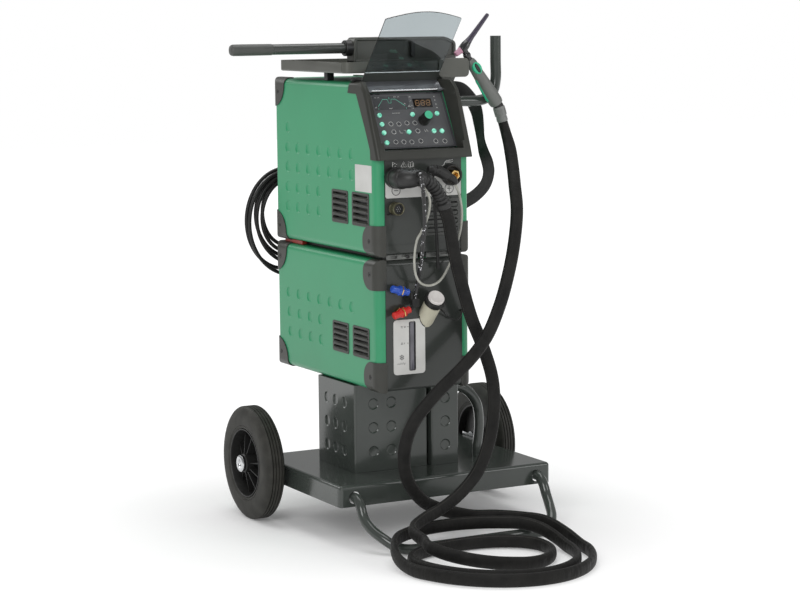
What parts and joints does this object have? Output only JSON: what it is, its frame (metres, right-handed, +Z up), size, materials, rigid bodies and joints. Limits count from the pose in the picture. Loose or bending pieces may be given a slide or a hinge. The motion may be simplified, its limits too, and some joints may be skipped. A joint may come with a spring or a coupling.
{
  "type": "welding machine on cart",
  "caption": "Upright TIG welding set: inverter power source over a water cooler on a two-wheel cart, with torch, hose and top tray.",
  "frame": {"origin": "on the floor, under the middle of the machine's bounding box without its free hoses and mains cable", "axes": "+Z up; the front with the control panel and sockets faces -Y; +X is the operator's right when facing the front"},
  "size_m": [0.8436, 1.2484, 1.2808],
  "materials": {
    "green_paint": "satin powder coat",
    "grey_paint": "gloss powder coat",
    "panel_grey": "satin",
    "cap_plastic": "satin",
    "black_plastic": "satin",
    "black_rubber": "matt",
    "tyre_rubber": "matt",
    "steel": "polished",
    "cream_plastic": "satin",
    "white_plastic": "satin",
    "blue_plastic": "gloss",
    "red_plastic": "gloss",
    "green_plastic": "gloss",
    "smoked_plastic": "clear gloss",
    "pale_plate": "satin",
    "webbing": "woven",
    "hose_jacket": "coated fabric",
    "grey_tube": "satin"
  },
  "bodies": {
    "machine": {"cart_base": "grey_paint", "column_main": "grey_paint", "column_side": "grey_paint", "foot_tube": "grey_paint", "side_guard_tube": "grey_paint", "axle_left": "steel", "axle_right": "steel", "cooler_shell": "green_paint", "cooler_front": "panel_grey", "cooler_rear": "panel_grey", "cooler_grille_left": "black_plastic", "cooler_grille_right": "black_plastic", "filler_neck": "cream_plastic", "filler_tether": "black_rubber", "coupling_blue": "blue_plastic", "coupling_red": "red_plastic", "unit_rails": "black_rubber", "power_shell": "green_paint", "power_front": "panel_grey", "power_rear": "panel_grey", "power_grille_left": "black_plastic", "power_grille_right": "black_plastic", "bezel": "cap_plastic", "control_panel": "panel_grey", "flap_rod": "steel", "socket_plate": "pale_plate", "torch_plug": "black_plastic", "torch_boot": "black_rubber", "tray": "grey_paint", "holder_box": "black_plastic", "push_bar": "grey_paint", "hose_hook": "grey_paint", "hose_a": "hose_jacket", "hose_coil": "hose_jacket", "hose_b": "hose_jacket", "mains_lead": "black_rubber", "mains_hank": "black_rubber", "mains_plug": "black_plastic", "strap": "webbing", "gas_line": "grey_tube", "torch_leads": "black_rubber"},
    "wheel_left": {"tyre_left": "tyre_rubber", "rim_left": "black_plastic"},
    "wheel_right": {"tyre_right": "tyre_rubber", "rim_right": "black_plastic"},
    "flap_body": {"flap": "smoked_plastic"},
    "knob_body": {"knob": "green_plastic"},
    "cap_body": {"filler_cap": "white_plastic"},
    "torch": {"torch_handle": "black_plastic", "torch_head": "black_rubber"},
    "trigger": {"torch_trigger": "green_plastic"},
    "key_1": {"button_1": "green_plastic"},
    "key_2": {"button_2": "green_plastic"},
    "key_3": {"button_3": "green_plastic"},
    "key_4": {"button_4": "green_plastic"},
    "key_5": {"button_5": "green_plastic"},
    "key_6": {"button_6": "green_plastic"},
    "key_7": {"button_7": "green_plastic"},
    "key_8": {"button_8": "green_plastic"},
    "key_9": {"button_9": "green_plastic"}
  },
  "joints": [
    {"name": "wheel_left_spin", "type": "hinge", "parent": "machine", "child": "wheel_left", "pos_m": [-0.29325, 0.15281, 0.14509], "axis": [1, 0, 0], "continuous": true},
    {"name": "wheel_right_spin", "type": "hinge", "parent": "machine", "child": "wheel_right", "pos_m": [0.38175, 0.15281, 0.14509], "axis": [1, 0, 0], "continuous": true},
    {"name": "flap_hinge", "type": "hinge", "parent": "machine", "child": "flap_body", "pos_m": [-0.01675, -0.16319, 1.09409], "axis": [1, 0, 0], "range_deg": [0, 110]},
    {"name": "knob_turn", "type": "hinge", "parent": "machine", "child": "knob_body", "pos_m": [0.01725, -0.19568, 1.01972], "axis": [0, -0.8699, 0.4932], "range_deg": [-150, 150]},
    {"name": "filler_cap_turn", "type": "hinge", "parent": "machine", "child": "cap_body", "pos_m": [-0.00875, -0.28767, 0.58497], "axis": [0, -0.7071, 0.7071], "range_deg": [0, 120]},
    {"name": "torch_lift", "type": "slide", "parent": "machine", "child": "torch", "axis": [0, 0, 1], "range_m": [0, 0.05]},
    {"name": "trigger_press", "type": "slide", "parent": "torch", "child": "trigger", "axis": [0, 1, 0], "range_m": [0, 0.002], "stiffness_N_per_m": 400},
    {"name": "button_1_press", "type": "slide", "parent": "machine", "child": "key_1", "axis": [0, 0.8699, -0.4932], "range_m": [0, 0.002], "stiffness_N_per_m": 300},
    {"name": "button_2_press", "type": "slide", "parent": "machine", "child": "key_2", "axis": [0, 0.8699, -0.4932], "range_m": [0, 0.002], "stiffness_N_per_m": 300},
    {"name": "button_3_press", "type": "slide", "parent": "machine", "child": "key_3", "axis": [0, 0.8699, -0.4932], "range_m": [0, 0.002], "stiffness_N_per_m": 300},
    {"name": "button_4_press", "type": "slide", "parent": "machine", "child": "key_4", "axis": [0, 0.8699, -0.4932], "range_m": [0, 0.002], "stiffness_N_per_m": 300},
    {"name": "button_5_press", "type": "slide", "parent": "machine", "child": "key_5", "axis": [0, 0.8699, -0.4932], "range_m": [0, 0.002], "stiffness_N_per_m": 300},
    {"name": "button_6_press", "type": "slide", "parent": "machine", "child": "key_6", "axis": [0, 0.8699, -0.4932], "range_m": [0, 0.002], "stiffness_N_per_m": 300},
    {"name": "button_7_press", "type": "slide", "parent": "machine", "child": "key_7", "axis": [0, 0.8699, -0.4932], "range_m": [0, 0.002], "stiffness_N_per_m": 300},
    {"name": "button_8_press", "type": "slide", "parent": "machine", "child": "key_8", "axis": [0, 0.8699, -0.4932], "range_m": [0, 0.002], "stiffness_N_per_m": 300},
    {"name": "button_9_press", "type": "slide", "parent": "machine", "child": "key_9", "axis": [0, 0.8699, -0.4932], "range_m": [0, 0.002], "stiffness_N_per_m": 300}
  ]
}
